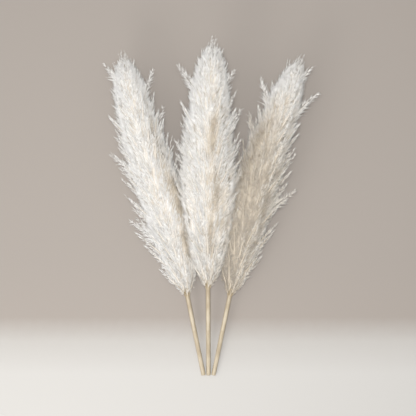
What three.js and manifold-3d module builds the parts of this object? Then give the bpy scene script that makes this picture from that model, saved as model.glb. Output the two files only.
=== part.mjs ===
// A bundle of three pampas grass plumes on straight straw-coloured stalks, lying down.
// Millimetres. +Y runs from the cut ends to the tips, +X is right seen from above, +Z is up.
import * as THREE from "three";
import { mergeVertices } from "three/addons/utils/BufferGeometryUtils.js";
import Module from "manifold-3d";

const wasm = await Module();
wasm.setup();

const GAP = 0.3; // between neighbouring pieces

// The stems. Each stalk runs straight from its foot to the base of its plume. The plume's axis
// goes on straight for a lead and then curves by the bend to the tip. Strays are the longest
// wisps at its edge: [share of the plume's length, millimetres to the right of the axis].
const STEMS = [
  {
    name: "left",
    way: -1,
    foot: [-6.6, 0],
    base: [-27.3, 102.5, 14],
    bend: [-105, 350, 40],
    tip: [-112, 426, 40],
    width: 76,
    opening: 0.17,
    strays: [[0.95, -27], [0.61, -45], [0.38, -47], [0.88, 37], [0.72, 38]],
  },
  {
    name: "middle",
    way: 0,
    foot: [0, 0],
    base: [-0.7, 113, 21],
    bend: [-2, 350, 58],
    tip: [6, 444, 58],
    width: 85,
    opening: 0.2,
    strays: [[0.87, -44], [0.6, -42], [0.86, 31], [0.72, 42], [0.5, 45]],
  },
  {
    name: "right",
    way: 1,
    foot: [6.6, 0],
    base: [27.3, 102.5, 14],
    bend: [90, 350, 40],
    tip: [122, 422, 40],
    width: 70,
    opening: 0.17,
    strays: [[0.83, -40], [0.7, -41], [0.97, 21], [0.85, 39], [0.49, 50]],
  },
];

// A stalk is a round culm, cut square at the foot. It stands in a plain hole in its plume.
const STALK_DIAMETER = 6;
const STALK_SIDES = 16;
const STALK_IN_PLUME = 26;
const AXIS_LEAD = 75;

// A plume's width: it opens from the stalk, stays full, and closes to a pointed tip.
const OPENING_CURVE = 1.15;
const CLOSING_START = 4;
const CLOSING_CURVE = 0.8;

// A plume's core: a slim spindle round its axis, with a wall round the stalk's hole.
const CORE_SHARE = 0.26; // of the plume's own half-width
const CORE_SIDES = 8;
const CORE_RINGS = 6;
const CORE_TIP = 0.93; // share of the plume's length
const SEAT_SHARE = 0.12; // of the plume's length that has the stalk's hole in it
const SEAT_WALL = 1.5;

// Branches climb from the core, evenly round it and up it, and bend outwards to their tips.
const BRANCHES = 72;
const TURN = Math.PI * (3 - Math.sqrt(5)); // from one branch to the next, round the core
const LOWEST_TIP = 0.045; // share of the plume's length
const BRANCH_RISE = [51, 69];
const BRANCH_REACH = [0.88, 1.12]; // of the plume's half-width
const BRANCH_CURVE = 1.15; // above 1 a branch keeps to the core at first
const BRANCH_SWIRL = [-0.25, 0.25]; // radians that a branch wanders round the core
const MOST_CLIMB = 0.85; // of the way from the plume's base to a branch's tip
const ROOT_SHARE = 0.5; // of the core's radius, where a branch is rooted
const STRAY_LIFT = 0.25; // radians that a stray is turned up

// Each branch is one three-sided needle, from whose outer facets shoots grow.
const NEEDLE_RADIUS = 1.35;
const NEEDLE_STEPS = 4;
const SHOOTS_FROM = 0.13; // share of the branch
const SHOOTS_TO = 0.75;
const SHOOT_REACH = [0.35, 0.53]; // share of the branch
const SHOOT_OUT = [5, 8.25];
const SHOOT_TAPER = 0.45; // how much less far out the shoots reach by the branch's tip
const SHOOT_ROOM = 20; // where the plume's half-width is less than this, shoots are shorter
const INWARD = -0.5; // a facet that is turned in more than this has no shoot
const SAMPLE = 0.05; // share of a branch on each side of a point that its way is taken from

// The middle plume lies between the others and partly on them: a leaning plane parts each pair.
const PARTING_FOOT = 3.3;
const PARTING_SPREAD = 0.121; // sideways for each millimetre up the bundle
const PARTING_LEAN = 0.2; // radians from upright
const PARTING_HEIGHT = 36;
const SOFT = 7; // within this height above the ground or a parting plane a branch is bent
const PRESS = 0.6; // how far a branch's middle line may be pressed past it

const STRAW = new THREE.MeshStandardMaterial({ color: 0xdcc9a0, roughness: 0.6 });
const SILK = new THREE.MeshStandardMaterial({ color: 0xf0ebe2, roughness: 0.9 });
const UP = new THREE.Vector3(0, 1, 0);

// Steps whose multiples, past the point, are spread evenly from 0 to 1 as a count goes up.
const STEPS = { reach: 0.7548776662, rise: 0.569840291, swirl: 0.6180339887 };
const vary = (count, step, [least, most]) => least + (most - least) * ((count * step) % 1);

const SAME_POINT = 1e-4;

function withoutSeams(geometry) {
  geometry.deleteAttribute("normal");
  geometry.deleteAttribute("uv");
  return mergeVertices(geometry, SAME_POINT);
}

function solidOf(geometry) {
  const merged = withoutSeams(geometry);
  return new wasm.Manifold(
    new wasm.Mesh({
      numProp: 3,
      vertProperties: merged.attributes.position.array,
      triVerts: new Uint32Array(merged.index.array),
    }),
  );
}

function geometryOf(solid) {
  const mesh = solid.getMesh();
  return new THREE.BufferGeometry()
    .setAttribute("position", new THREE.BufferAttribute(mesh.vertProperties, 3))
    .setIndex(new THREE.BufferAttribute(mesh.triVerts, 1));
}

function moved(geometry, place) {
  const places = geometry.attributes.position;
  for (let i = 0; i < places.count; i += 1) {
    const point = place(places.getX(i), places.getY(i), places.getZ(i));
    places.setXYZ(i, point.x, point.y, point.z);
  }
  return geometry;
}

// The ground, and the planes to the neighbouring plumes, each facing this plume.
function wallsOf(stem) {
  const walls = [{ normal: new THREE.Vector3(0, 0, 1), start: 0 }];
  for (const way of [-1, 1].filter((one) => stem.way !== -one)) {
    const normal = new THREE.Vector3(
      way * Math.cos(PARTING_LEAN),
      -PARTING_SPREAD,
      -Math.sin(PARTING_LEAN),
    ).normalize();
    const through = new THREE.Vector3(way * PARTING_FOOT, 0, PARTING_HEIGHT);
    if (stem.way === 0) normal.negate();
    walls.push({ normal, start: normal.dot(through) + GAP / 2 });
  }
  return walls;
}

// Bends a point of a branch's middle line clear of the walls, the more the nearer it is.
function bentClear(point, walls) {
  const room = SOFT + PRESS;
  for (const { normal, start } of walls) {
    const height = normal.dot(point) - start;
    if (height >= SOFT) continue;
    const kept = room * Math.exp((height - SOFT) / room) - PRESS;
    point.addScaledVector(normal, kept - height);
  }
  return point;
}

// Moves a corner that is still past a wall back onto it. Leaning walls are gone over again.
function keptOut(point, walls) {
  for (const { normal, start } of [...walls, ...walls, ...walls]) {
    const height = normal.dot(point) - start;
    if (height < 0) point.addScaledVector(normal, -height);
  }
  return point;
}

function halfWidth(stem, t) {
  const inside = THREE.MathUtils.clamp(t, 0, 1);
  const opened = 1 - Math.exp(-((inside / stem.opening) ** OPENING_CURVE));
  const closed = (1 - inside ** CLOSING_START) ** CLOSING_CURVE;
  return (stem.width / 2) * opened * closed;
}

function coreRadius(stem, t) {
  const seat = STALK_DIAMETER / 2 + GAP + SEAT_WALL;
  return t < SEAT_SHARE ? seat : CORE_SHARE * halfWidth(stem, t);
}

// A point of the plume, at a share t of its length, some way to the side and upwards.
function pointOn(plume, t, side, up) {
  const inside = THREE.MathUtils.clamp(t, 0, 1);
  const forward = plume.axis.getTangent(inside);
  const across = new THREE.Vector3(forward.y, -forward.x, 0).normalize();
  const above = across.clone().cross(forward);
  return plume.axis
    .getPoint(inside)
    .addScaledVector(forward, (t - inside) * plume.length)
    .addScaledVector(across, side)
    .addScaledVector(above, up);
}

function coreOf(plume) {
  const profile = [new THREE.Vector2(0, 0)];
  for (let ring = 0; ring < CORE_RINGS; ring += 1) {
    const t = (CORE_TIP * ring) / CORE_RINGS;
    profile.push(new THREE.Vector2(coreRadius(plume.stem, t), t));
  }
  profile.push(new THREE.Vector2(0, CORE_TIP));
  const spindle = new THREE.LatheGeometry(profile, CORE_SIDES);
  return solidOf(moved(spindle, (x, y, z) => pointOn(plume, y, x, z)));
}

// A branch, from the share of the plume's length where it ends and how far out it reaches.
function branchTo(plume, number, t, angle, reach) {
  const rise = vary(number, STEPS.rise, BRANCH_RISE);
  const climb = Math.min(rise / plume.length, MOST_CLIMB * t);
  const root = ROOT_SHARE * coreRadius(plume.stem, t - climb);
  const swirl = vary(number, STEPS.swirl, BRANCH_SWIRL);
  return { number, angle, reach, root, swirl, climb, start: t - climb };
}

function branchesOf(plume) {
  const branches = [];
  for (let i = 0; i < BRANCHES; i += 1) {
    const t = LOWEST_TIP + (1 - LOWEST_TIP) * ((i + 0.5) / BRANCHES);
    const reach = halfWidth(plume.stem, t) * vary(i, STEPS.reach, BRANCH_REACH);
    branches.push(branchTo(plume, i, t, i * TURN, reach));
  }
  plume.stem.strays.forEach(([t, side], k) => {
    const angle = side > 0 ? STRAY_LIFT : Math.PI - STRAY_LIFT;
    branches.push(branchTo(plume, BRANCHES + k, t, angle, Math.abs(side)));
  });
  return branches;
}

// A point on a branch's middle line, q of the way from its root to its tip.
function branchPoint(plume, branch, q) {
  const out = Math.max(q, 0) ** BRANCH_CURVE;
  const radius = THREE.MathUtils.lerp(branch.root, branch.reach, out);
  const angle = branch.angle + branch.swirl * (q - 1);
  const t = branch.start + branch.climb * q;
  return pointOn(plume, t, radius * Math.cos(angle), radius * Math.sin(angle));
}

// A point beside a branch. The turn is round its middle line, and a quarter turn is outwards.
function besideBranch(plume, branch, q, turn, distance) {
  const here = branchPoint(plume, branch, q);
  const before = branchPoint(plume, branch, q - SAMPLE);
  const forward = branchPoint(plume, branch, q + SAMPLE).sub(before);
  const onAxis = pointOn(plume, branch.start + branch.climb * q, 0, 0);
  const across = forward.clone().cross(here.clone().sub(onAxis)).normalize();
  const above = across.clone().cross(forward).normalize();
  return bentClear(here, plume.walls)
    .addScaledVector(across, distance * Math.cos(turn))
    .addScaledVector(above, distance * Math.sin(turn));
}

// A branch's solid: a bent needle, with a shoot on each outer facet of its lower three quarters.
function branchSolid(plume, branch) {
  const needle = withoutSeams(new THREE.ConeGeometry(NEEDLE_RADIUS, 1, 3, NEEDLE_STEPS));
  const places = needle.attributes.position;
  const corners = [];
  for (let i = 0; i < places.count; i += 1) {
    const section = new THREE.Vector2(places.getX(i), places.getZ(i));
    corners.push({ q: places.getY(i) + 0.5, section });
  }
  const points = corners.map(({ q, section }) =>
    besideBranch(plume, branch, q, section.angle(), section.length()),
  );
  const width = halfWidth(plume.stem, branch.start + branch.climb);
  const room = Math.min(1, width / SHOOT_ROOM);
  const faces = [];
  for (let i = 0; i < needle.index.count; i += 3) {
    const [a, b, c] = [0, 1, 2].map((k) => needle.index.getX(i + k));
    const q = (corners[a].q + corners[b].q + corners[c].q) / 3;
    const facing = new THREE.Vector2();
    for (const k of [a, b, c]) facing.add(corners[k].section.clone().normalize());
    if (q < SHOOTS_FROM || q > SHOOTS_TO || facing.y < INWARD) {
      faces.push(a, b, c);
      continue;
    }
    const count = branch.number + points.length;
    const reach = q + vary(count, STEPS.rise, SHOOT_REACH);
    const out = vary(count, STEPS.reach, SHOOT_OUT) * (1 - SHOOT_TAPER * q) * room;
    const tip = points.length;
    points.push(besideBranch(plume, branch, reach, facing.angle(), out));
    faces.push(a, b, tip, b, c, tip, c, a, tip);
  }
  const spray = new THREE.BufferGeometry();
  spray.setFromPoints(points.map((point) => keptOut(point, plume.walls)));
  return solidOf(spray.setIndex(faces));
}

// The stalk's line: where it touches the ground at its foot, where its plume starts, and its way.
function lineOf(stem) {
  const base = new THREE.Vector3(...stem.base);
  const run = Math.hypot(base.x - stem.foot[0], base.y - stem.foot[1]);
  const height = (STALK_DIAMETER / 2) * Math.cos(Math.atan(base.z / run));
  const foot = new THREE.Vector3(...stem.foot, height);
  return { foot, base, way: base.clone().sub(foot).normalize() };
}

// A round rod between two points, as a mesh placed by its middle.
function rodOf(radius, from, to) {
  const sides = new THREE.CylinderGeometry(radius, radius, from.distanceTo(to), STALK_SIDES);
  const rod = new THREE.Mesh(sides, STRAW);
  rod.position.copy(from).lerp(to, 0.5);
  rod.quaternion.setFromUnitVectors(UP, to.clone().sub(from).normalize());
  rod.updateMatrix();
  return rod;
}

function stalkOf(stem) {
  const { foot, base, way } = lineOf(stem);
  const top = base.clone().addScaledVector(way, STALK_IN_PLUME);
  const stalk = rodOf(STALK_DIAMETER / 2, foot, top);
  stalk.name = `stalk_${stem.name}`;
  return stalk;
}

// The hole for the stalk, cut from below the plume's base to just past the stalk's top.
function holeOf(stem) {
  const { base, way } = lineOf(stem);
  const mouth = base.clone().addScaledVector(way, -STALK_IN_PLUME);
  const end = base.clone().addScaledVector(way, STALK_IN_PLUME + GAP);
  const hole = rodOf(STALK_DIAMETER / 2 + GAP, mouth, end);
  return solidOf(hole.geometry.applyMatrix4(hole.matrix));
}

function plumeOf(stem) {
  const { base, way } = lineOf(stem);
  const axis = new THREE.CubicBezierCurve3(
    base,
    base.clone().addScaledVector(way, AXIS_LEAD),
    new THREE.Vector3(...stem.bend),
    new THREE.Vector3(...stem.tip),
  );
  const plume = { stem, axis, length: axis.getLength(), walls: wallsOf(stem) };
  const branches = branchesOf(plume).map((branch) => branchSolid(plume, branch));
  const joined = wasm.Manifold.union([coreOf(plume), ...branches]);
  const mesh = new THREE.Mesh(geometryOf(joined.subtract(holeOf(stem))), SILK);
  mesh.name = `plume_${stem.name}`;
  return mesh;
}

const bundle = new THREE.Group();
for (const stem of STEMS) bundle.add(stalkOf(stem), plumeOf(stem));

// The origin is under the middle of the bundle, on the ground.
const box = new THREE.Box3().setFromObject(bundle, true);
const middle = box.getCenter(new THREE.Vector3());
bundle.position.set(-middle.x, -middle.y, -box.min.z);

export default bundle;
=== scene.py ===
import math

import bpy
import numpy as np
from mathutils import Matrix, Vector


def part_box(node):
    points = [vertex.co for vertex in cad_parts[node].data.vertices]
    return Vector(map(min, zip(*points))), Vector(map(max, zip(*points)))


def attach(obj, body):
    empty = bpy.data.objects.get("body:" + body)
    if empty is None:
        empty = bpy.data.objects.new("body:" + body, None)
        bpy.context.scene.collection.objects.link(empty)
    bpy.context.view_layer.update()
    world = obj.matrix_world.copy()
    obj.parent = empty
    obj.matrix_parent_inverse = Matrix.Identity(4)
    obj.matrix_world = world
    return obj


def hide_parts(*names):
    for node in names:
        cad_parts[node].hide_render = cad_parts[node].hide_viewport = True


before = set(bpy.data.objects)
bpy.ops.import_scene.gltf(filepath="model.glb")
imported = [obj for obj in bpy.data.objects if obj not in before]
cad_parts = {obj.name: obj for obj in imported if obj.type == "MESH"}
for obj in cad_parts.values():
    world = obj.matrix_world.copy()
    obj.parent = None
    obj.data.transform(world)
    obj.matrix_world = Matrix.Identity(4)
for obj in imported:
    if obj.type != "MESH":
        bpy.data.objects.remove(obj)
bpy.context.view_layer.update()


# ---------------------------------------------------------------------------------------------
# The stalks
# Three dried culms, each a straight straw 6 mm thick with a hard glossy rind over pale pith.
# They are cut square at the foot and run up into their plumes. They lie side by side on the floor.
# ---------------------------------------------------------------------------------------------
MM = 0.001
CULM_RADIUS = 3.0
CULM_SIDES = 40
CULM_IN_PLUME = 26.0
CULM_RINGS = 22
RIND = 0.45
# At the cut foot: how wide and deep the rind's bevel is, and how wide and high the pith's dome.
CUT_BEVEL = (0.12, 0.03)
PITH_SUNK = 0.22
PITH_DOME = (0.9, 0.1)
# Flutes round the rind and long waves along it: how many or how long, and how deep.
FLUTES = [(10, 0.018), (17, 0.010)]
WAVES = (9.0, 0.008)
# How often the rind's markings repeat in a millimetre, across the culm twice and then along it.
FIBRES = (3.2, 3.2, 0.035)
STAINS = (0.16, 0.16, 0.045)
FRECKLES = (1.3, 1.3, 0.32)
# Where each culm's cut foot is on the floor, and where its plume starts.
CULM_LINES = {
    "left": {"foot": (-6.6, 0.0), "base": (-27.3, 102.5, 14.0)},
    "middle": {"foot": (0.0, 0.0), "base": (-0.7, 113.0, 21.0)},
    "right": {"foot": (6.6, 0.0), "base": (27.3, 102.5, 14.0)},
}
FLUTE_PHASES = {"left": 0.0, "middle": 2.0, "right": 4.0}
FACING_FOOT = -0.9
SMOOTH_UNDER = 40  # degrees between two faces
TINY = 1e-12


def unit(vectors):
    vectors = np.asarray(vectors, float)
    return vectors / np.maximum(np.linalg.norm(vectors, axis=-1, keepdims=True), TINY)


def culm_line(name):
    """Where a culm starts at the floor, where its plume starts, and its way, in millimetres."""
    line = CULM_LINES[name]
    base = np.array(line["base"])
    run = math.dist(line["foot"], base[:2])
    height = CULM_RADIUS * math.cos(math.atan(base[2] / run))
    foot = np.array((*line["foot"], height))
    return foot, base, unit(base - foot)


# The frame has its origin at the bundle's middle. The middle culm's box shows where that is.
low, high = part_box("stalk_middle")
foot, base, way = culm_line("middle")
FRAME_SHIFT = np.array((low + high) / 2) / MM - (foot + base + way * CULM_IN_PLUME) / 2


class Signal:
    """An output of a finish's nodes. Arithmetic on it adds Math nodes to the finish."""

    def __init__(self, finish, socket):
        self.finish, self.socket = finish, socket

    def worked_out(self, operation, *others):
        values = dict(enumerate((self, *others)))
        return self.finish.add("Math", {"operation": operation}, values)

    def __add__(self, other):
        return self.worked_out("ADD", other)

    def __sub__(self, other):
        return self.worked_out("SUBTRACT", other)

    def __rsub__(self, other):
        return self.worked_out("MULTIPLY", -1.0) + other

    def __mul__(self, other):
        return self.worked_out("MULTIPLY", other)

    __radd__, __rmul__ = __add__, __mul__


class Finish:
    """A material that is mixed node by node."""

    def __init__(self, name):
        self.material = bpy.data.materials.new(name)
        self.material.use_nodes = True
        self.nodes = self.material.node_tree.nodes
        self.links = self.material.node_tree.links
        self.nodes.clear()

    def add(self, kind, settings=None, values=None, out=0):
        """Adds one node: first its settings, then the values or Signals of its inputs."""
        node = self.nodes.new("ShaderNode" + kind)
        for key, value in (settings or {}).items():
            if key == "stops":
                ramp = node.color_ramp
                while len(ramp.elements) < len(value):
                    ramp.elements.new(0.5)
                for element, (place, colour) in zip(ramp.elements, value):
                    element.position = place
                    element.color = (*colour, 1.0)
            else:
                setattr(node, key, value)
        for key, value in (values or {}).items():
            if isinstance(value, Signal):
                self.links.new(value.socket, node.inputs[key])
            else:
                node.inputs[key].default_value = value
        return Signal(self, node.outputs[out])

    def split(self, place):
        """The three parts of a place on the piece, each a Signal."""
        parts = self.add("SeparateXYZ", None, {0: place})
        return [Signal(self, output) for output in parts.socket.node.outputs]

    def noise(self, place, stretch, detail):
        """Soft noise over a place, repeated as often as its stretch says along each way."""
        stretched = self.add("Mapping", None, {"Vector": place, "Scale": stretch})
        return self.add("TexNoise", None, {"Vector": stretched, "Scale": 1.0, "Detail": detail})

    def mixed(self, share, first, second):
        """One colour laid over another. The sockets are the share and the two colours."""
        settings = {"data_type": "RGBA"}
        return self.add("Mix", settings, {0: share, 6: first, 7: second}, out=2)

    def finished(self, values):
        shader = self.add("BsdfPrincipled", None, values)
        output = self.nodes.new("ShaderNodeOutputMaterial")
        self.links.new(shader.socket, output.inputs["Surface"])
        return self.material


def deselect_all():
    for thing in bpy.context.selected_objects:
        thing.select_set(False)


def put_in_place(thing):
    """Applies a piece's place and turn to its mesh, so that its object sits at the origin."""
    deselect_all()
    thing.select_set(True)
    bpy.context.view_layer.objects.active = thing
    bpy.ops.object.transform_apply(location=True, rotation=True, scale=True)


def select_cut_end(mesh):
    """Selects only the faces of a culm's foot, in edit mode."""
    bpy.ops.mesh.select_all(action="DESELECT")
    bpy.ops.object.mode_set(mode="OBJECT")
    for face in mesh.polygons:
        face.select = face.normal.z < FACING_FOOT
    bpy.ops.object.mode_set(mode="EDIT")


def cut_lengthwise(mesh, shortest, cuts):
    """Cuts all the long edges of a straight stem into equal lengths, from edit mode."""
    bpy.ops.mesh.select_mode(type="EDGE")
    bpy.ops.mesh.select_all(action="DESELECT")
    bpy.ops.object.mode_set(mode="OBJECT")
    for edge in mesh.edges:
        ends = [mesh.vertices[i].co.z for i in edge.vertices]
        edge.select = abs(ends[0] - ends[1]) > shortest
    bpy.ops.object.mode_set(mode="EDIT")
    bpy.ops.mesh.subdivide(number_cuts=cuts)
    bpy.ops.object.mode_set(mode="OBJECT")


def points_of(mesh):
    points = np.zeros(len(mesh.vertices) * 3)
    mesh.vertices.foreach_get("co", points)
    return points.reshape(-1, 3)


def straw_finish():
    """Pale straw with fine lengthwise fibres, faint stains and freckles, and a pithy cut end."""
    straw = Finish("straw")
    # The culm's own measure: x and y across it, z up it, in millimetres.
    along = straw.add("Attribute", {"attribute_name": "up_the_culm"}, None, "Vector")
    fibres = straw.noise(along, FIBRES, 3.0)
    stains = straw.noise(along, STAINS, 2.0)
    freckles = straw.noise(along, FRECKLES, 1.0)
    stops = [
        (0.38, (0.26, 0.205, 0.135)),
        (0.52, (0.36, 0.30, 0.21)),
        (0.62, (0.43, 0.37, 0.275)),
        (0.74, (0.49, 0.435, 0.34)),
    ]
    rind = straw.add("ValToRGB", {"stops": stops}, {"Fac": fibres * 0.55 + stains * 0.6})
    # Freckles show where their noise is highest, and are half see-through.
    limits = {"From Min": 0.69, "From Max": 0.76, "To Min": 0.0, "To Max": 0.5}
    spots = straw.add("MapRange", None, {"Value": freckles, **limits})
    rind = straw.mixed(spots, rind, (0.20, 0.13, 0.06, 1.0))
    height = straw.split(along)[2]
    across = straw.add("Mapping", None, {"Vector": along, "Scale": (1.0, 1.0, 0.0)})
    radius = straw.add("VectorMath", {"operation": "LENGTH"}, {0: across}, "Value")
    pores = straw.add("TexVoronoi", None, {"Vector": along, "Scale": 4.5})
    pith_stops = [(0.0, (0.30, 0.22, 0.12)), (0.35, (0.60, 0.52, 0.36))]
    pith = straw.add("ValToRGB", {"stops": pith_stops}, {"Fac": pores})
    inside = radius.worked_out("LESS_THAN", CULM_RADIUS - RIND)
    at_foot = inside * height.worked_out("LESS_THAN", 1.0)
    bump = straw.add("Bump", None, {"Strength": 0.5, "Distance": 0.00012, "Height": fibres})
    return straw.finished({
        "Base Color": straw.mixed(at_foot, rind, pith),
        "Roughness": 0.34 + fibres * 0.22 + at_foot * 0.3,
        "Normal": bump,
    })


STRAW = straw_finish()


def culm(name):
    foot, base, way = culm_line(name)
    top = base + way * CULM_IN_PLUME
    length = float(np.linalg.norm(top - foot))
    deselect_all()
    bpy.ops.mesh.primitive_cylinder_add(
        vertices=CULM_SIDES,
        radius=CULM_RADIUS * MM,
        depth=length * MM,
        location=(0, 0, length * MM / 2),
    )
    piece = bpy.context.object
    piece.name = piece.data.name = "culm_" + name
    put_in_place(piece)
    mesh = piece.data
    bpy.ops.object.mode_set(mode="EDIT")
    bpy.ops.mesh.select_mode(type="FACE")
    # The cut end: a rim of rind round the pith, which is sunk a little and domed.
    select_cut_end(mesh)
    bpy.ops.mesh.inset(thickness=CUT_BEVEL[0] * MM)
    bpy.ops.transform.translate(value=(0, 0, -CUT_BEVEL[1] * MM))
    bpy.ops.mesh.inset(thickness=(RIND - CUT_BEVEL[0]) * MM)
    bpy.ops.mesh.extrude_region_move(TRANSFORM_OT_translate={"value": (0, 0, PITH_SUNK * MM)})
    bpy.ops.mesh.inset(thickness=PITH_DOME[0] * MM)
    bpy.ops.transform.translate(value=(0, 0, -PITH_DOME[1] * MM))
    # Rings along the rind, so that it can be fluted and slightly uneven.
    cut_lengthwise(mesh, shortest=length * MM / 2, cuts=CULM_RINGS)
    points = points_of(mesh) / MM
    angle = np.arctan2(points[:, 1], points[:, 0])
    phase = FLUTE_PHASES[name]
    length_of_wave, depth = WAVES
    sunk = depth * (1 - np.sin(points[:, 2] / length_of_wave + phase) * np.cos(angle + phase))
    for count, depth in FLUTES:
        sunk += depth * (1 - np.cos(count * (angle + phase)))
    # They only go inwards, so that the culm keeps within its thickness.
    on_rind = np.linalg.norm(points[:, :2], axis=1) > CULM_RADIUS - CUT_BEVEL[0] - CUT_BEVEL[1]
    points[:, :2] *= (1 - sunk * on_rind)[:, None]
    own = mesh.attributes.new("up_the_culm", "FLOAT_VECTOR", "POINT")
    own.data.foreach_set("vector", points.astype(np.float32).ravel())
    side = unit(np.cross((0.0, 0.0, 1.0), way))
    above = np.cross(way, side)
    placed = foot + points @ np.array((side, above, way)) + FRAME_SHIFT
    mesh.vertices.foreach_set("co", (placed * MM).ravel())
    mesh.update()
    deselect_all()
    piece.select_set(True)
    bpy.context.view_layer.objects.active = piece
    bpy.ops.object.shade_smooth_by_angle(angle=math.radians(SMOOTH_UNDER))
    mesh.materials.append(STRAW)
    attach(piece, "root")
    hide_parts("stalk_" + name)


for name in CULM_LINES:
    culm(name)


# ---------------------------------------------------------------------------------------------
# The branches
# Inside each plume the culm goes on as a thin rachis, and branches climb from it all round and
# bend out to the plume's edge. They are dry, tan and matt, and mostly hidden by the hair.
# ---------------------------------------------------------------------------------------------
# Each plume's side of the bunch, its bend, tip and greatest width in millimetres, and how soon it
# opens. A stray wisp is given by how far up its tip is, and how far to the side.
PLUME_FACTS = {
    "left": {
        "way": -1,
        "bend": (-105.0, 350.0, 40.0),
        "tip": (-112.0, 426.0, 40.0),
        "width": 76.0,
        "opening": 0.17,
        "strays": [(0.95, -27), (0.61, -45), (0.38, -47), (0.88, 37), (0.72, 38)],
    },
    "middle": {
        "way": 0,
        "bend": (-2.0, 350.0, 58.0),
        "tip": (6.0, 444.0, 58.0),
        "width": 85.0,
        "opening": 0.20,
        "strays": [(0.87, -44), (0.6, -42), (0.86, 31), (0.72, 42), (0.5, 45)],
    },
    "right": {
        "way": 1,
        "bend": (90.0, 350.0, 40.0),
        "tip": (122.0, 422.0, 40.0),
        "width": 70.0,
        "opening": 0.17,
        "strays": [(0.83, -40), (0.7, -41), (0.97, 21), (0.85, 39), (0.49, 50)],
    },
}
# The axis goes on in the culm's line for this lead, and then bends.
AXIS_LEAD = 75.0
AXIS_STEPS = 200
# A plume opens from its foot and closes to its tip. Its core is slim, with a seat for the culm.
OPENING_CURVE = 1.15
CLOSING_START = 3.8
CLOSING_CURVE = 0.83
WIDTH_ENDS = 0.98
CORE_SHARE = 0.26
SEAT_SHARE = 0.12
SEAT_RADIUS = 4.8
ROOT_SHARE = 0.5
# Each branch grows this far round from the one before it, as the scales of a cone do.
TURN = math.pi * (3 - math.sqrt(5))
# Steps of evenly spread series, one for each thing that differs from branch to branch.
STEPS = {"reach": 0.7548776662, "rise": 0.5698402910, "swirl": 0.6180339887, "turn": 0.3247179572}
LOWEST_TIP = 0.045
# Reaches are shares of the plume's half-width and heights of its length. The branches' rise and
# the crown's spread are in millimetres.
MAIN_BRANCHES = 72
MAIN_REACH = (0.88, 1.24)
STRAY_BRANCHES = 5
STRAY_LIFT = 0.25
INNER_BRANCHES = 150
INNER_SERIES = 200
INNER_REACH = (0.72, 1.2)
INNER_TURN = (1.35, 2.05)
PROUD = {"each": 7, "first": 3, "by": 0.12}
CROWN_BRANCHES = 18
CROWN_SERIES = 400
CROWN_TIPS = (0.945, 1.014)
CROWN_POINT = 1.03
CROWN_SPREAD = (50, 110)
BRANCH_RISE = (51.0, 69.0)
MOST_CLIMB = 0.85
BRANCH_CURVE = 1.15
BRANCH_SWIRL = (-0.25, 0.25)
# How much less the branches reach at the foot, and over how much of the length.
NARROW_BASE = (0.35, 0.08)
# How much more they reach towards the tip, from where, and over how much of the length.
FULL_TOP = (0.12, 0.5, 0.3)
# The middle plume lies between the others and partly on them: a leaning plane parts each pair.
PARTING_FOOT = 3.3
PARTING_SPREAD = 0.121
PARTING_LEAN = 0.2
PARTING_HEIGHT = 36.0
HALF_GAP = 0.15
# Branches start to bend this near to the floor or such a plane, and may press into it a little.
SOFT = 7.0
PRESS = 0.6
PRESS_ROUNDS = 3
# How far parts of one plume may lie over the parting plane to the next, in millimetres.
BRANCHES_OVER = 7.0
TWIGS_OVER = 8.0
TWIG_PRESS = 1.0
TWIG_THICK = 0.42
TWIG_POINT = 0.25
TWIG_CUTS = 4
TWIG_END = 0.6
RACHIS_THICK = 2.3
RACHIS_TAPER = 0.8
RACHIS_SPAN = (0.06, 0.94)
RACHIS_LENGTHS = 12
NUDGE = 0.05  # of a branch, over which its way is taken
# The table of branches gives the turn and reach of each tip, how far off the axis the root is,
# how much the branch swirls, how far it climbs, and where it starts on the axis.
ANGLE, REACH, CLIMB, START = 0, 1, 4, 5


def vary(number, kind, least, most):
    """A number between two others that is spread evenly as the count goes up."""
    return least + (most - least) * ((number * STEPS[kind]) % 1.0)


def level_of(rows, q):
    """How far up their plume places on branches are, q of the way to the branches' tips."""
    return rows[:, START] + rows[:, CLIMB] * q


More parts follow.
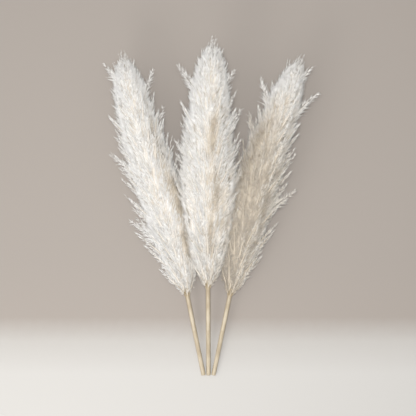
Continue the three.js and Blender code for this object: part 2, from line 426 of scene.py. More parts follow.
class Plume:
    """The way that one plume grows: its axis, its width, its branches and what it is kept from."""

    def __init__(self, name, way, bend, tip, width, opening, strays):
        _, base, line = culm_line(name)
        self.name = name
        self.way = way
        self.width = width
        self.opening = opening
        self.axis = np.array((base, base + line * AXIS_LEAD, bend, tip))
        steps = np.diff(self.on_axis(np.linspace(0, 1, AXIS_STEPS + 1))[0], axis=0)
        self.length = float(np.linalg.norm(steps, axis=1).sum())
        # The floor, and the planes to the neighbouring plumes, each facing this plume.
        self.walls = [(np.array((0.0, 0.0, 1.0)), 0.0)]
        for side in (one for one in (-1, 1) if way != -one):
            lean = (side * math.cos(PARTING_LEAN), -PARTING_SPREAD, -math.sin(PARTING_LEAN))
            normal = unit(lean) * (-1 if way == 0 else 1)
            through = np.array((side * PARTING_FOOT, 0.0, PARTING_HEIGHT))
            self.walls.append((normal, normal @ through + HALF_GAP))
        self.branches = self.grown(strays)
        self.strays = np.arange(MAIN_BRANCHES, MAIN_BRANCHES + STRAY_BRANCHES)
        self.crown = np.arange(len(self.branches) - CROWN_BRANCHES, len(self.branches))

    def on_axis(self, t):
        """Points of the axis, and the way that it runs there."""
        a, b, c, d = self.axis
        t = np.clip(t, 0, 1)[..., None]
        s = 1 - t
        point = a * s**3 + 3 * b * s**2 * t + 3 * c * s * t**2 + d * t**3
        ahead = (b - a) * s**2 + 2 * (c - b) * s * t + (d - c) * t**2
        return point, unit(ahead)

    def place(self, t, side, up):
        """Points at a share t of the plume's length, some way to the side and upwards."""
        point, ahead = self.on_axis(t)
        past = (t - np.clip(t, 0, 1)) * self.length
        across = unit(np.stack((ahead[..., 1], -ahead[..., 0], 0 * t), -1))
        above = np.cross(across, ahead)
        return point + ahead * past[..., None] + across * side[..., None] + above * up[..., None]

    def half_width(self, t):
        t = np.clip(t, 0, 1)
        opened = 1 - np.exp(-((t / self.opening) ** OPENING_CURVE))
        return 0.5 * self.width * opened * (1 - t**CLOSING_START) ** CLOSING_CURVE

    def fuller(self, t):
        """How much further the hair spreads towards the tip than the plume's plain outline."""
        more, start, over = FULL_TOP
        return 1 + more * np.clip((t - start) / over, 0, 1)

    def grown(self, strays):
        """The table of branches: main ones, stray wisps, inner ones, and the crown at the tip."""
        number = np.arange(MAIN_BRANCHES)
        t = LOWEST_TIP + (1 - LOWEST_TIP) * (number + 0.5) / MAIN_BRANCHES
        share = vary(number, "reach", *MAIN_REACH) * self.fuller(t)
        ends = [(number, t, number * TURN, share)]
        number = MAIN_BRANCHES + np.arange(STRAY_BRANCHES)
        t, side = np.array(strays, float).T
        angle = np.where(side > 0, STRAY_LIFT, math.pi - STRAY_LIFT)
        ends.append((number, t, angle, np.abs(side) / self.half_width(t)))
        number = np.arange(INNER_BRANCHES)
        t = LOWEST_TIP + (1 - LOWEST_TIP) * (number + 0.5) / INNER_BRANCHES
        angle = number * TURN + vary(number, "turn", *INNER_TURN)
        proud = PROUD["by"] * (number % PROUD["each"] == PROUD["first"])
        share = (vary(number, "reach", *INNER_REACH) + proud) * self.fuller(t)
        ends.append((number + INNER_SERIES, t, angle, share))
        number = np.arange(CROWN_BRANCHES)
        t = vary(number, "reach", *CROWN_TIPS)
        spread = (CROWN_POINT - t) * vary(number, "rise", *CROWN_SPREAD)
        share = spread / self.half_width(WIDTH_ENDS)
        ends.append((number + CROWN_SERIES, t, number * TURN, share))
        number, t, angle, share = (np.concatenate(rows) for rows in zip(*ends))
        climb = np.minimum(vary(number, "rise", *BRANCH_RISE) / self.length, MOST_CLIMB * t)
        start = t - climb
        core = np.where(start < SEAT_SHARE, SEAT_RADIUS, CORE_SHARE * self.half_width(start))
        swirl = vary(number, "swirl", *BRANCH_SWIRL)
        reach = share * self.half_width(np.minimum(t, WIDTH_ENDS))
        reach *= 1 - NARROW_BASE[0] * np.exp(-t / NARROW_BASE[1])
        return np.stack((angle, reach, ROOT_SHARE * core, swirl, climb, start), 1)

    def on_branch(self, rows, q):
        """Points on the middle lines of branches, q of the way from their roots to their tips."""
        angle, reach, root, swirl, climb, start = rows.T
        radius = root + (reach - root) * np.maximum(q, 0) ** BRANCH_CURVE
        angle = angle + swirl * (q - 1)
        return self.place(start + climb * q, radius * np.cos(angle), radius * np.sin(angle))

    def beside_branch(self, rows, q, turn, distance):
        """Points beside branches. The turn is round the branch, and a quarter is outwards."""
        here = self.on_branch(rows, q)
        ahead = self.on_branch(rows, q + NUDGE) - self.on_branch(rows, q - NUDGE)
        on_axis = self.place(level_of(rows, q), 0 * q, 0 * q)
        across = unit(np.cross(ahead, here - on_axis))
        above = unit(np.cross(across, ahead))
        side, up = distance * np.cos(turn), distance * np.sin(turn)
        here = self.bent_clear(here, BRANCHES_OVER)
        return here + across * side[:, None] + above * up[:, None]

    def walls_for(self, over):
        """The floor, and the parting planes moved over by a way."""
        return [self.walls[0], *((normal, start - over) for normal, start in self.walls[1:])]

    def bent_clear(self, points, over=0.0):
        """Bends branches clear of the walls, the more the nearer they are."""
        room = SOFT + PRESS
        for normal, start in self.walls_for(over):
            height = points @ normal - start
            kept = room * np.exp((np.minimum(height, SOFT) - SOFT) / room) - PRESS
            points = points + normal * np.where(height < SOFT, kept - height, 0)[:, None]
        return points

    def pressed(self, points, soft, over):
        """Presses what still comes near a wall flat against it."""
        for normal, start in self.walls_for(over):
            height = points @ normal - start
            kept = soft * np.exp((np.minimum(height, soft) - soft) / soft)
            points = points + normal * np.where(height < soft, kept - height, 0)[:, None]
        # What is moved off one wall may pass another, so this is done a few times.
        for normal, start in self.walls_for(over) * PRESS_ROUNDS:
            height = points @ normal - start
            points = points + normal * np.maximum(-height, 0)[:, None]
        return points


def model_of(thing):
    """The points and faces of a shape that was modelled once, which is then taken away."""
    mesh = thing.data
    points = points_of(mesh)
    mesh.calc_loop_triangles()
    faces = np.zeros(len(mesh.loop_triangles) * 3, np.int32)
    mesh.loop_triangles.foreach_get("vertices", faces)
    bpy.data.objects.remove(thing)
    bpy.data.meshes.remove(mesh)
    return points, faces.reshape(-1, 3)


def copies_of(faces, count, corners):
    """The faces of many copies of a shape, whose points follow each other."""
    return (faces + np.arange(count)[:, None, None] * corners).reshape(-1, 3)


def piece_of(name, plume, points, faces, material):
    """A piece of a plume from its points in millimetres."""
    mesh = bpy.data.meshes.new(name)
    mesh.vertices.add(len(points))
    mesh.vertices.foreach_set("co", ((points + FRAME_SHIFT) * MM).astype(np.float32).ravel())
    mesh.loops.add(faces.size)
    mesh.loops.foreach_set("vertex_index", faces.astype(np.int32).ravel())
    mesh.polygons.add(len(faces))
    mesh.polygons.foreach_set("loop_start", np.arange(0, faces.size, 3, dtype=np.int32))
    mesh.update(calc_edges=True)
    mesh.shade_smooth()
    mesh.materials.append(material)
    piece = bpy.data.objects.new(name, mesh)
    bpy.context.scene.collection.objects.link(piece)
    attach(piece, "root")
    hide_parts("plume_" + plume.name)
    return piece


def round_length(points):
    """Each point's turn round a shape's length, how far off it is, and its height along it.

    A plume's side, up and ahead are a left-handed set, so its turns run the other way round.
    """
    x, y, z = points.T
    return np.arctan2(-y, x), np.hypot(x, y), z


def twig_model():
    """A branch before it is bent: a three-sided needle a unit long and a unit thick."""
    deselect_all()
    bpy.ops.mesh.primitive_cone_add(vertices=3, radius1=1, radius2=TWIG_POINT, depth=1)
    twig = bpy.context.object
    bpy.ops.object.mode_set(mode="EDIT")
    cut_lengthwise(twig.data, shortest=0.5, cuts=TWIG_CUTS)
    return model_of(twig)


def twig_finish():
    """Dry tan stems, with paler and browner lengths."""
    dry = Finish("dry_branch")
    place = dry.add("TexCoord", None, None, "Object")
    streaks = dry.noise(place, (900.0, 90.0, 900.0), 2.0)
    stops = [(0.35, (0.34, 0.26, 0.16)), (0.65, (0.54, 0.45, 0.31))]
    colour = dry.add("ValToRGB", {"stops": stops}, {"Fac": streaks})
    return dry.finished({"Base Color": colour, "Roughness": 0.55 + streaks * 0.3})


TWIG_POINTS, TWIG_FACES = twig_model()
DRY_BRANCH = twig_finish()


def stems(plume):
    """The rachis, and a twig along the middle line of each branch."""
    turn, off, z = round_length(TWIG_POINTS)
    count, corners = len(plume.branches), len(TWIG_POINTS)
    twigs = plume.beside_branch(
        np.repeat(plume.branches, corners, 0),
        np.tile((z + 0.5) * TWIG_END, count),
        np.tile(turn, count),
        np.tile(off, count) * TWIG_THICK,
    )
    # The rachis is made of short lengths, so that it follows the whole axis.
    share = (np.arange(RACHIS_LENGTHS)[:, None] + (z + 0.5)) / RACHIS_LENGTHS
    radius = RACHIS_THICK * (1 - RACHIS_TAPER * share)
    side, up = radius * np.cos(turn), radius * np.sin(turn)
    t = RACHIS_SPAN[0] + (RACHIS_SPAN[1] - RACHIS_SPAN[0]) * share
    rachis = plume.place(t.ravel(), side.ravel(), up.ravel())
    points = plume.pressed(np.concatenate((twigs, rachis)), TWIG_PRESS, TWIGS_OVER)
    faces = copies_of(TWIG_FACES, count + RACHIS_LENGTHS, corners)
    piece_of("branches_" + plume.name, plume, points, faces, DRY_BRANCH)


PLUMES = [Plume(name, **facts) for name, facts in PLUME_FACTS.items()]
for plume in PLUMES:
    stems(plume)


# ---------------------------------------------------------------------------------------------
# The down
# Deep in a plume the shortest hairs lie so close that they read as one soft fleece, tan in its
# hollows, where part of the tan is painted shade: round the rachis, and as a slim pad along the
# outer part of each branch.
# ---------------------------------------------------------------------------------------------
# The coat's hair has its roots part of the way out: further on a swell, and near a neighbour.
ROOTS_SHARE = 0.68
ROOTS_SWELL = 0.09
ROOTS_FILL = 0.24
FILL_NEAR = 16.0
ROOTS_INSET = 2.0
LEAST_ROOTS = 1.0
EDGE_SHARE = 0.9
FLEECE_INSET = 2.0
LEAST_FLEECE = 0.8
FLEECE_SPAN = (0.03, 0.91)
FLEECE_OVER = 8.0
DOWN_PRESS = 3.0
# How many faces the fleece and a pad have, round them and along them.
FLEECE_FACES_EACH_WAY = (48, 80)
PAD_FACES_EACH_WAY = (8, 14)
ON_POLE = 1e-6
# A lock is widest part way along its branch. It opens and closes over a share of it, by a power.
LOCK_HALF = 3.6
LOCK_OPENS = (0.45, 0.8)
LOCK_CLOSES = (0.6, 1.2)
LOCK_FULL_WIDTH = 24.0
LEAST_LOCK = 0.2
# A pad lies along this span of its branch, at a share of the lock's width, and is flattened.
PAD_SPAN = (0.35, 0.9)
PAD_SHARE = 0.7
PAD_FLAT = 0.62
THIN_PADS = {"strays": 0.2, "crown": 0.4}
PAD_ROUNDED = 0.15
# The map is used up to near its edges, and each pad takes one of a few strips of it.
ON_MAP = (0.01, 0.99)
PAD_STRIPS = 4
STRIP_EDGE = 0.1
# Each swell is two crossing waves: its share, and for each how many times it goes round the plume,
# how fast it goes along it, and how far it is shifted from plume to plume.
SWELLS = [(0.6, (5, 26, 2.1), (3, -41, 4.2)), (0.4, (9, -33, 2.1), (4, 57, 0.0))]
# How pale the fleece is, and how much paler it is painted on a swell, as light, with painted shade
# between swells.
FLEECE_PALE_AND_SWELL_LIGHT = (0.6, 0.4)
# How much less bleached a plume is at its foot, and over how much of its length.
FOOT_TAN = {"down": (0.6, 0.06), "coat": (0.4, 0.05), "locks": (0.35, 0.05)}
# Painted light on each plume's left side and painted shade on its right side, as if lit from the
# left.
SIDE_LIGHT_AND_SHADE = 0.18
# How much darker one plume's lower part is than another's, mostly on its left side: partly less
# bleached hair, and partly painted shade where the middle plume shades the right one.
TAN_AND_SHADE = {"left": 0.0, "middle": 0.06, "right": 1.3}
TAN_AND_SHADE_UP_TO = (0.5, 0.35)
TAN_AND_SHADE_ROUND = (0.7, 0.3)
# A wavering line along each plume where its hair lies open and is painted darker, as shade over the
# tan of its depth: how far round the line is and how much shade and tan, how wide, from where to
# where, and how it wavers and comes and goes.
HOLLOWS = {
    "left": {"turn": 0.75, "tan": 0.65},
    "middle": {"turn": 1.3, "tan": 0.85},
    "right": {"turn": 2.1, "tan": 0.6},
}
HOLLOW_WIDE = 0.24
HOLLOW_SPAN = (0.1, 0.8, 0.12)
HOLLOW_WAVER = (0.14, 19)
HOLLOW_PATCHES = (0.7, 0.3, 33)


def swell_at(plume, t, angle):
    """Long low swells that run up and outwards, where branches lie under the hair."""
    total = 0.0
    for share, *waves in SWELLS:
        swell = share
        for turns, climbs, shift in waves:
            swell = swell * np.sin(turns * angle + climbs * t + shift * plume.way)
        total = total + swell
    return total


def roots_radius(plume, t, angle):
    """How far from the axis the coat's hair has its roots: further out towards a neighbour."""
    wide = plume.half_width(t) * plume.fuller(t)
    edge = plume.place(t, EDGE_SHARE * wide * np.cos(angle), EDGE_SHARE * wide * np.sin(angle))
    rooms = [edge @ normal - start for normal, start in plume.walls[1:]]
    near = [np.clip(1 - room / FILL_NEAR, 0, 1) for room in rooms]
    share = ROOTS_SHARE + ROOTS_SWELL * swell_at(plume, t, angle) + ROOTS_FILL * np.max(near, 0)
    return np.maximum(wide * share - ROOTS_INSET, LEAST_ROOTS)


def foot_tan(kind, t):
    """How much less bleached the hair is just above the culm."""
    deepest, over = FOOT_TAN[kind]
    return deepest * np.exp(-t / over)


def hollow_at(plume, t, angle):
    """Where the hair of a plume lies open, from 0 to 1: a wavering line along it."""
    start, end, soft = HOLLOW_SPAN
    sway, sways = HOLLOW_WAVER
    mean, more, patches = HOLLOW_PATCHES
    off = angle - HOLLOWS[plume.name]["turn"] + sway * np.sin(sways * t)
    off = np.mod(off + math.pi, 2 * math.pi) - math.pi
    along = np.clip(np.minimum(t - start, end - t) / soft, 0, 1)
    along = along * (mean + more * np.sin(patches * t))
    return along * np.exp(-((off / HOLLOW_WIDE) ** 2))


def shade_and_tan_at(plume, t, angle):
    """How much darker the hair is: painted light and shade across it, painted shade and less
    bleached hair low on one plume, and painted shade along its hollow.
    """
    low = 1 - np.clip((t - TAN_AND_SHADE_UP_TO[0]) / TAN_AND_SHADE_UP_TO[1], 0, 1)
    round_it = TAN_AND_SHADE_ROUND[0] - TAN_AND_SHADE_ROUND[1] * np.cos(angle)
    tan = SIDE_LIGHT_AND_SHADE * np.cos(angle) + TAN_AND_SHADE[plume.name] * low * round_it
    return tan + HOLLOWS[plume.name]["tan"] * hollow_at(plume, t, angle)


def lock_scale(plume, rows):
    """Locks are slimmer where the plume is narrow, at its base and its tip."""
    return np.clip(plume.half_width(level_of(rows, 1)) / LOCK_FULL_WIDTH, LEAST_LOCK, 1)


def lock_half(q):
    """How far a lock's side is from its middle line."""
    opened = np.minimum(1, (q / LOCK_OPENS[0]) ** LOCK_OPENS[1])
    closing = np.clip((1 - q) / LOCK_CLOSES[0], 0, 1) ** LOCK_CLOSES[1]
    return LOCK_HALF * opened * closing


def ball(segments, rings):
    """A closed ball with its poles at -1 and 1, which is drawn out into a fleece or a pad."""
    deselect_all()
    bpy.ops.mesh.primitive_uv_sphere_add(segments=segments, ring_count=rings, radius=1)
    return model_of(bpy.context.object)


def down_finish():
    """Matt down with fine streaks. The map runs from tan and painted shade to pale, and round the
    piece.
    """
    soft = Finish("soft_down")
    place = soft.add("UVMap", {"uv_map": "OFBake"}, None, "UV")
    pale = soft.split(place)[0]
    streaks = soft.noise(place, (7.0, 85.0, 1.0), 3.0)
    stops = [
        (0.30, (0.44, 0.385, 0.31)),
        (0.50, (0.55, 0.51, 0.455)),
        (0.70, (0.64, 0.615, 0.575)),
    ]
    colour = soft.add("ValToRGB", {"stops": stops}, {"Fac": streaks + pale * 0.4 - 0.22})
    return soft.finished({"Base Color": colour, "Roughness": 0.7, "Specular IOR Level": 0.15})


def mapped(piece, faces, places):
    """Gives a piece its map, from a place on it for each of its points."""
    layer = piece.data.uv_layers.new(name="OFBake", do_init=False)
    layer.uv.foreach_set("vector", places[faces.ravel()].astype(np.float32).ravel())


PAD_POINTS, PAD_FACES = ball(*PAD_FACES_EACH_WAY)
FLEECE_POINTS, FLEECE_FACES = ball(*FLEECE_FACES_EACH_WAY)
SOFT_DOWN = down_finish()


def pads(plume):
    """The points of a slim pad on each branch, and their places on the map."""
    turn, off, z = round_length(PAD_POINTS)
    q = PAD_SPAN[0] + (PAD_SPAN[1] - PAD_SPAN[0]) * (z + 1) / 2
    count, corners = len(plume.branches), len(PAD_POINTS)
    rows = np.repeat(plume.branches, corners, 0)
    fullness = np.ones(count)
    fullness[plume.strays] = THIN_PADS["strays"]
    fullness[plume.crown] = THIN_PADS["crown"]
    rounded = np.minimum(1, (q - PAD_SPAN[0]) / PAD_ROUNDED) ** 0.5 * (off > ON_POLE)
    half = PAD_SHARE * lock_half(q) * rounded
    side, up = half * np.cos(turn), half * np.sin(turn) * PAD_FLAT
    scale = lock_scale(plume, rows)
    points = plume.beside_branch(
        rows,
        np.tile(q, count),
        np.tile(np.arctan2(up, side), count),
        np.tile(np.hypot(side, up), count) * scale * np.repeat(fullness, corners),
    )
    strip = np.arange(count)[:, None] % PAD_STRIPS
    in_strip = STRIP_EDGE + (1 - 2 * STRIP_EDGE) * (1 - np.abs(turn[None]) / math.pi)
    beside = (strip + in_strip) / PAD_STRIPS
    # A pad is paler out along its branch, and darker by the plume's painted shade and tan.
    tan = shade_and_tan_at(plume, level_of(plume.branches, 1), plume.branches[:, ANGLE])
    pale = np.clip(q - np.maximum(tan, 0)[:, None], *ON_MAP)
    return points, np.stack((pale, beside), -1).reshape(-1, 2)


def fleece(plume):
    """The points of the fleece round the rachis, and their places on the map."""
    angle, off, z = round_length(FLEECE_POINTS)
    along = 1 - np.arccos(np.clip(z, -1, 1)) / math.pi
    t = FLEECE_SPAN[0] + (FLEECE_SPAN[1] - FLEECE_SPAN[0]) * along
    radius = np.maximum(roots_radius(plume, t, angle) - FLEECE_INSET, LEAST_FLEECE)
    radius *= off > ON_POLE
    points = plume.bent_clear(plume.place(t, radius * np.cos(angle), radius * np.sin(angle)))
    # Painted light on the swells and painted shade between them, then the foot's tan and the
    # plume's painted shade and tan.
    pale = FLEECE_PALE_AND_SWELL_LIGHT[0] + FLEECE_PALE_AND_SWELL_LIGHT[1] * swell_at(plume, t, angle)
    pale = np.clip(pale - foot_tan("down", t) - shade_and_tan_at(plume, t, angle), *ON_MAP)
    beside = ON_MAP[0] + (ON_MAP[1] - ON_MAP[0]) * (1 - np.abs(angle) / math.pi)
    return points, np.stack((pale, beside), -1)


def down(plume):
    pad_points, pad_places = pads(plume)
    points, places = fleece(plume)
    faces = np.concatenate((
        copies_of(PAD_FACES, len(plume.branches), len(PAD_POINTS)),
        FLEECE_FACES + len(pad_points),
    ))
    points = plume.pressed(np.concatenate((pad_points, points)), DOWN_PRESS, FLEECE_OVER)
    piece = piece_of("down_" + plume.name, plume, points, faces, SOFT_DOWN)
    mapped(piece, faces, np.concatenate((pad_places, places)))


for plume in PLUMES:
    down(plume)


# ---------------------------------------------------------------------------------------------
# The spikelets
# Thousands of papery spikelets sit along the branches. Each is a tuft of long silky hairs, cream
# white at their tips and tan at their roots, which are what a plume is made of to the eye.
# ---------------------------------------------------------------------------------------------
SPIKELETS = 6000  # in each third of a plume
COAT = 0.36  # the share of them that cover the plume evenly, while the rest are on the branches
# One tuft in millimetres: its hairs' thickness and length, where they start along it, and how far
# their roots and their tips are from its middle line.
HAIRS = 8
HAIR_THICK = 0.27
HAIR_LONG = (8.5, 13.0)
HAIR_START = (0.0, 4.0)
HAIR_ROOTS = (0.4, 1.9)
HAIR_TIPS = (0.2, 1.5)
# A hair has three corners at its root and one at its tip: their places up the map, and beside.
HAIR_CORNERS = 4
CORNERS_UP = (0.02, 0.08, 0.02, 0.98)
CORNERS_BESIDE = (-0.004, 0.0, 0.004, 0.0)
HAIRS_DIFFER = (-0.03, 0.03)
FAR_APART = 1000
# The most that a tuft curls to one side, and the power by which most of them curl less.
CURL = 1.6
MOSTLY_STRAIGHT = 1.5
WILD = (0.0, 0.15)  # how far a tuft strays from the way of those round it
ODD_WAY = (0.31, -0.17, 0.93)  # which no hair has, so that turns can be measured from it
# How near to a wall hair is pressed flat, and how far over a parting plane it may reach.
HAIR_PRESS = 3.0
HAIR_OVER = 14.0
# The coat's tufts stand evenly on the plume's surface, and a little more closely at its ends.
COAT_SPAN = (0.0, 0.94)
COAT_STEPS = 400
COAT_AT_ENDS = 10.0
COAT_SUNK = (0.0, 1.0)
# How far they lean out: how much of it at the foot and how soon the rest, then how much less at
# the tip, from where and over how much of the length.
COAT_LEAN = 0.7
LEAN_AT_FOOT = (0.6, 0.25)
LEAN_AT_TIP = (0.6, 0.75, 0.25)
LEAN_VARIES = (0.75, 1.25)
STAND = 0.4
COAT_SIZE = (0.55, 1.0)
COAT_THICK = 0.6
# Tufts are shorter where the plume is slimmer than this to each side, down to the least share.
FULL_SIZE = {"coat": 20.0, "locks": 18.0}
LEAST_SIZE = {"coat": 0.5, "locks": 0.55}
HOLLOW_SHORT = 0.4
# A tuft's tone is its place across the map. The coat is painted lighter on a swell and darker
# between swells, as light and shade, most on its right side.
COAT_TONE = 0.70
SWELL_LIGHT_AND_SHADE = (0.25, 0.1)
TONE_VARIES = 0.045
# A branch has tufts by its reach and a little more. They start at its sides and lean out there,
# and are shorter, thinner, paler and straighter towards its tip.
LEAST_REACH = 6.0
MORE_HAIR = {"strays": 1.7, "crown": 1.6}
FEATHER_VARIES = 0.4
TURN_VARIES = 0.6
LOCK_SPAN = (0.40, 1.0)
LOCK_OUT = (0.5, 1.0)
LEAST_OUT = 0.15
LAID_FLAT = (1.0, 1.0, 0.5)
FLARE = 0.9
FLARE_VARIES = (0.25, 1.0)
FLARE_CLOSES = 0.85
SLIM_FLARE = 0.4
LOCK_SIZE = (0.35, 0.7)
LOCK_SHORTENS = 0.35
LOCK_THICK = (0.75, 0.25)
LOCK_TONE = (0.68, 0.2)
# The share of the plume's painted shade and tan that the locks take.
LOCK_SHADE_AND_TAN = 0.6
# A stray wisp is slimmer, and most of its tufts are low on it.
STRAY_LOW = 1.6
STRAY_SLIM = 0.5
STRAY_FLARE = (0.2, 1.1)
STRAY_SIZE = (0.6, 1.3)
STRAY_SHORTENS = 0.65
STRAY_THICK = (0.32, 0.5)
# How pale each plume is as a whole, partly its own paleness and partly painted light that is most
# on the left plume, and how dark and how far in the painted shade is where two press together.
BLEACHED_AND_LIT = {"left": 0.2, "middle": 0.1, "right": 0.05}
PARTING_SHADE = (0.45, 12.0)
# How far the last hairs of each plume bend to the right, and from where.
HOOK = {"left": -0.15, "middle": 0.6, "right": 0.4}
HOOK_FROM = 0.86
SEED = 7
rng = np.random.default_rng(SEED)


def spikelet_model():
    """One tuft: hairs whose roots lie apart and whose tips draw together, each a closed needle."""
    hairs = []
    for i in range(HAIRS):
        length = vary(i, "reach", *HAIR_LONG)
        turn = i * TURN
        root_out = vary(i, "rise", *HAIR_ROOTS)
        tip_out = vary(i, "swirl", *HAIR_TIPS)
        start = vary(i, "turn", *HAIR_START)
        deselect_all()
        bpy.ops.mesh.primitive_cone_add(
            vertices=3,
            radius1=HAIR_THICK,
            radius2=0,
            depth=length,
            location=(0, 0, length / 2),
        )
        hair = bpy.context.object
        put_in_place(hair)
        hair.rotation_euler = (0, math.atan2(tip_out - root_out, length), turn)
        hair.location = (root_out * math.cos(turn), root_out * math.sin(turn), start)
        put_in_place(hair)
        hairs.append(hair)
    deselect_all()
    for hair in hairs:
        hair.select_set(True)
    bpy.context.view_layer.objects.active = hairs[0]
    bpy.ops.object.join()
    return model_of(hairs[0])


def silk_finish():
    """Silky hair. The map runs from root to tip, and across from the darkest tuft to the palest,
    with the tufts' painted light and shade.
    """
    silk = Finish("silky_hair")
    up_hair, tuft, _ = silk.split(silk.add("UVMap", {"uv_map": "OFBake"}, None, "UV"))
    stops = [
        (0.0, (0.35, 0.265, 0.165)),
        (0.30, (0.79, 0.728, 0.638)),
        (0.60, (0.912, 0.897, 0.871)),
        (0.85, (0.95, 0.942, 0.928)),
        (1.0, (0.965, 0.961, 0.954)),
    ]
    colour = silk.add("ValToRGB", {"stops": stops}, {"Fac": tuft * 0.70 + up_hair * 0.30})
    return silk.finished({
        "Base Color": colour,
        "Roughness": 0.62 - up_hair * 0.12,
        "Specular IOR Level": 0.15,
        "Sheen Weight": 0.7,
        "Sheen Roughness": 0.5,
    })


SPIKELET_POINTS, SPIKELET_FACES = spikelet_model()
SILK = silk_finish()


def across_any(ahead, turn):
    """Two directions square to each other and to the way ahead, turned by any angle."""
    side = unit(np.cross(ahead, ODD_WAY))
    up = np.cross(ahead, side)
    turned = side * np.cos(turn)[:, None] + up * np.sin(turn)[:, None]
    return turned, np.cross(ahead, turned)


def any_turn(count):
    return rng.uniform(0, 2 * math.pi, count)


def tufts(name, plume, root, ahead, size, thick, tone):
    """A piece with a copy of the spikelet at each root, and the map of its hairs' tones."""
    count, corners = len(root), len(SPIKELET_POINTS)
    side, up = across_any(ahead, any_turn(count))
    x, y, z = SPIKELET_POINTS.T
    points = (
        root[:, None]
        + side[:, None] * (x * thick[:, None])[:, :, None]
        + up[:, None] * (y * thick[:, None])[:, :, None]
        + ahead[:, None] * (z * size[:, None])[:, :, None]
    )
    curl, _ = across_any(ahead, any_turn(count))
    curl *= (rng.uniform(0, 1, count) ** MOSTLY_STRAIGHT * CURL * size)[:, None]
    points += curl[:, None] * ((z / z.max()) ** 2)[:, None]
    points = plume.pressed(points.reshape(-1, 3), HAIR_PRESS, HAIR_OVER)
    faces = copies_of(SPIKELET_FACES, count, corners)
    piece = piece_of(name, plume, points, faces, SILK)
    # The corners of each hair are ranked along it, so the last is its tip.
    hair = np.arange(corners) // HAIR_CORNERS
    rank = np.argsort(np.argsort(z + hair * FAR_APART)) % HAIR_CORNERS
    beside = np.array(CORNERS_BESIDE)[rank] + rng.uniform(*HAIRS_DIFFER, HAIRS)[hair]
    across = np.clip(tone[:, None] + beside, *ON_MAP)
    up_hair = np.broadcast_to(np.array(CORNERS_UP)[rank], across.shape)
    mapped(piece, faces, np.stack((up_hair, across), -1).reshape(-1, 2))


def coat(plume, count):
    """The tufts that cover the whole plume, evenly by its surface."""
    steps = np.linspace(*COAT_SPAN, COAT_STEPS)
    heap = np.cumsum(plume.half_width(steps) + COAT_AT_ENDS)
    t = np.interp(rng.uniform(0, 1, count), heap / heap[-1], steps)
    angle = any_turn(count)
    swell = swell_at(plume, t, angle)
    radius = roots_radius(plume, t, angle) - rng.uniform(*COAT_SUNK, count)
    root = plume.place(t, radius * np.cos(angle), radius * np.sin(angle))
    _, onward = plume.on_axis(t)
    # The hair is combed to both sides of the plume's top, and lies flatter than it stands.
    combed = np.sign(np.cos(angle)) * np.sqrt(np.abs(np.cos(angle)))
    outward = plume.place(t, combed, STAND * np.sin(angle)) - plume.place(t, 0 * t, 0 * t)
    share, over = LEAN_AT_FOOT
    less, start, soft = LEAN_AT_TIP
    lean = COAT_LEAN * np.clip(share + t / over, 0, 1)
    lean = lean * (1 - less * np.clip((t - start) / soft, 0, 1))
    wild, _ = across_any(onward, any_turn(count))
    ahead = onward + outward * (lean * rng.uniform(*LEAN_VARIES, count))[:, None]
    ahead = unit(ahead + wild * rng.uniform(*WILD, count)[:, None])
    size = rng.uniform(*COAT_SIZE, count)
    size *= np.clip(plume.half_width(t) / FULL_SIZE["coat"], LEAST_SIZE["coat"], 1)
    size *= 1 - HOLLOW_SHORT * hollow_at(plume, t, angle)
    # Painted light on each swell and painted shade between swells, strongest on the right; then the
    # foot's tan and the plume's painted shade and tan.
    painted_light_and_shade = (SWELL_LIGHT_AND_SHADE[0] + SWELL_LIGHT_AND_SHADE[1] * np.cos(angle)) * swell
    tone = COAT_TONE + painted_light_and_shade + rng.normal(0, TONE_VARIES, count)
    tone -= foot_tan("coat", t) + shade_and_tan_at(plume, t, angle)
    return t, plume.bent_clear(root), ahead, size, size * COAT_THICK, tone


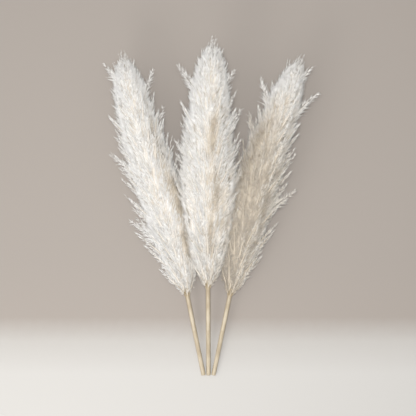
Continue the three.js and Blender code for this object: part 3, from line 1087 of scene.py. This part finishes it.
def locks(plume, count):
    """The tufts on the branches, which stand out of the coat as flat pointed locks."""
    rows = plume.branches
    weight = rows[:, REACH] + LEAST_REACH
    weight[plume.strays] *= MORE_HAIR["strays"]
    weight[plume.crown] *= MORE_HAIR["crown"]
    # Each lock lies flat like a feather, facing up, and its tufts lean out to both its sides.
    feather = math.pi / 2 - rows[:, ANGLE] + rng.normal(0, FEATHER_VARIES, len(rows))
    chosen = rng.choice(len(rows), count, p=weight / weight.sum())
    stray = np.isin(chosen, plume.strays)
    rows, feather = rows[chosen], feather[chosen]
    s = rng.uniform(0, 1, count) ** np.where(stray, STRAY_LOW, 1)
    q = LOCK_SPAN[0] + (LOCK_SPAN[1] - LOCK_SPAN[0]) * s
    other_side = np.where(rng.uniform(0, 1, count) < 0.5, 0, math.pi)
    turn = feather + other_side + rng.normal(0, TURN_VARIES, count)
    scale = lock_scale(plume, rows) * np.where(stray, STRAY_SLIM, 1)
    out = (lock_half(q) * rng.uniform(*LOCK_OUT, count) + LEAST_OUT) * scale
    root = plume.beside_branch(rows, q, turn, out)
    middle = plume.beside_branch(rows, q, turn, 0 * out)
    beyond = unit(plume.beside_branch(rows, q, turn, out + 1) - middle) * LAID_FLAT
    ahead = unit((plume.beside_branch(rows, q + NUDGE, turn, 0 * out) - middle) * LAID_FLAT)
    wild, _ = across_any(ahead, any_turn(count))
    flare = FLARE * rng.uniform(*FLARE_VARIES, count) * (1 - FLARE_CLOSES * s**2)
    flare = flare * (SLIM_FLARE + (1 - SLIM_FLARE) * scale)
    flare = np.where(stray, rng.uniform(*STRAY_FLARE, count), flare)
    ahead = unit(ahead + beyond * flare[:, None] + wild * rng.uniform(*WILD, count)[:, None])
    size = rng.uniform(*LOCK_SIZE, count) * (1 - LOCK_SHORTENS * s)
    size = np.where(stray, rng.uniform(*STRAY_SIZE, count) * (1 - STRAY_SHORTENS * s), size)
    t = level_of(rows, q)
    size *= np.clip(plume.half_width(t) / FULL_SIZE["locks"], LEAST_SIZE["locks"], 1)
    size *= 1 - HOLLOW_SHORT * hollow_at(plume, t, rows[:, ANGLE])
    slender = STRAY_THICK[0] * (1 - STRAY_THICK[1] * s)
    thick = np.where(stray, slender, size * (LOCK_THICK[0] - LOCK_THICK[1] * s))
    tone = LOCK_TONE[0] + LOCK_TONE[1] * s + rng.normal(0, TONE_VARIES, count)
    # Less bleached at the foot, and darker by a share of the plume's painted shade and tan.
    tone -= foot_tan("locks", t) + LOCK_SHADE_AND_TAN * shade_and_tan_at(plume, t, rows[:, ANGLE])
    return t, root, ahead, size, thick, tone


def spikelets(plume):
    """All the tufts, in three pieces: the lower, middle and upper third of the plume."""
    total = 3 * SPIKELETS
    in_coat = round(total * COAT)
    both = zip(coat(plume, in_coat), locks(plume, total - in_coat))
    level, root, ahead, size, thick, tone = (np.concatenate(pair) for pair in both)
    # Each plume is paler as a whole, partly its own paleness and partly painted light, most on the
    # left plume.
    tone = tone + BLEACHED_AND_LIT[plume.name]
    # Where two plumes press on each other, the hair is painted darker, as shade between them.
    deepest, over = PARTING_SHADE
    for normal, start in plume.walls[1:]:
        tone -= deepest * np.exp(-np.maximum(root @ normal - start, 0) / over)
    # The last hairs of a plume bend to one side, as a hook.
    hook = HOOK[plume.name] * np.clip((level - HOOK_FROM) / (1 - HOOK_FROM), 0, 1)
    ahead = unit(ahead + hook[:, None] * (1.0, 0.0, 0.0))
    order = np.argsort(level)
    for part, chosen in zip(("lower", "middle", "upper"), np.split(order, 3)):
        name = f"spikelets_{plume.name}_{part}"
        tufts(name, plume, root[chosen], ahead[chosen], size[chosen], thick[chosen], tone[chosen])


for plume in PLUMES:
    spikelets(plume)


# ---------------------------------------------------------------------------------------------
# The floor, the light and the camera
# A plain pale floor, which is lightest at the cut ends, under soft light from above and the left.
# The camera looks straight down on the bundle, with the tips at the top of the picture.
# ---------------------------------------------------------------------------------------------
FLOOR_WIDE = 8.0
FLOOR_SHADES = [
    (0.30, (0.421, 0.410, 0.394)),
    (0.47, (0.368, 0.352, 0.334)),
    (0.60, (0.266, 0.236, 0.212)),
    (0.90, (0.260, 0.232, 0.209)),
]
# The lightest shade ends this far below the middle, and the others follow by so much a metre.
LIGHT_BELOW = 0.22
SHADES_A_METRE = 4.0
GRAIN = 0.02
DAYLIGHT = (1.0, 0.995, 0.985)
WARM_LIGHT = (1.0, 0.985, 0.96)
SKY = (1.0, 0.99, 0.975, 1.0)
SKY_STRENGTH = 0.42
LIGHT_BOUNCES = 12  # because pale hair passes the light on many times
CAMERA_AWAY = 1.8
SENSOR_WIDE = 36.0
PICTURE_WIDE = 0.546  # of the plane that the plumes' middles lie in
PICTURE_MIDDLE = (-0.7, 222.3, 30.0)


def paper_finish():
    """Matt pale paper with a faint grain, which darkens up the picture."""
    paper = Finish("pale_paper")
    up_picture = paper.split(paper.add("TexCoord", None, None, "Object"))[1]
    grain = paper.add("TexNoise", None, {"Scale": 600.0, "Detail": 2.0})
    level = (up_picture + LIGHT_BELOW) * SHADES_A_METRE + grain * GRAIN + FLOOR_SHADES[0][0]
    colour = paper.add("ValToRGB", {"stops": FLOOR_SHADES}, {"Fac": level})
    return paper.finished({"Base Color": colour, "Roughness": 0.8})


deselect_all()
bpy.ops.mesh.primitive_plane_add(size=FLOOR_WIDE)
floor = bpy.context.object
floor.name = "floor"
floor.data.materials.append(paper_finish())


def soft_light(name, place, size, power, target=(0, 0, 0), colour=DAYLIGHT):
    lamp = bpy.data.lights.new(name, "AREA")
    lamp.shape = "RECTANGLE"
    lamp.size, lamp.size_y = size
    lamp.energy = power
    lamp.color = colour
    holder = bpy.data.objects.new(name, lamp)
    holder.location = place
    way = holder.location.copy()
    way.x, way.y, way.z = (a - b for a, b in zip(place, target))
    holder.rotation_euler = way.to_track_quat("Z", "Y").to_euler()
    bpy.context.scene.collection.objects.link(holder)


soft_light("key", place=(-0.03, 0.05, 1.75), size=(0.25, 0.25), power=32.0)
soft_light("side", place=(-1.2, 0.1, 1.1), size=(1.8, 1.8), power=6.5)
soft_light(
    "foot",
    place=(-0.5, -0.78, 0.6),
    size=(0.6, 0.3),
    power=4.2,
    target=(0, -0.3, 0),
    colour=WARM_LIGHT,
)

world = bpy.data.worlds.new("studio")
world.use_nodes = True
sky = world.node_tree.nodes["Background"]
sky.inputs["Color"].default_value = SKY
sky.inputs["Strength"].default_value = SKY_STRENGTH
bpy.context.scene.world = world
bpy.context.scene.view_settings.view_transform = "Standard"
bpy.context.scene.cycles.diffuse_bounces = LIGHT_BOUNCES

lens = bpy.data.cameras.new("camera")
lens.sensor_width = SENSOR_WIDE
lens.lens = SENSOR_WIDE * CAMERA_AWAY / PICTURE_WIDE
camera = bpy.data.objects.new("camera", lens)
camera.location = (np.array(PICTURE_MIDDLE) + FRAME_SHIFT) * MM
camera.location.z += CAMERA_AWAY
bpy.context.scene.collection.objects.link(camera)
bpy.context.scene.camera = camera
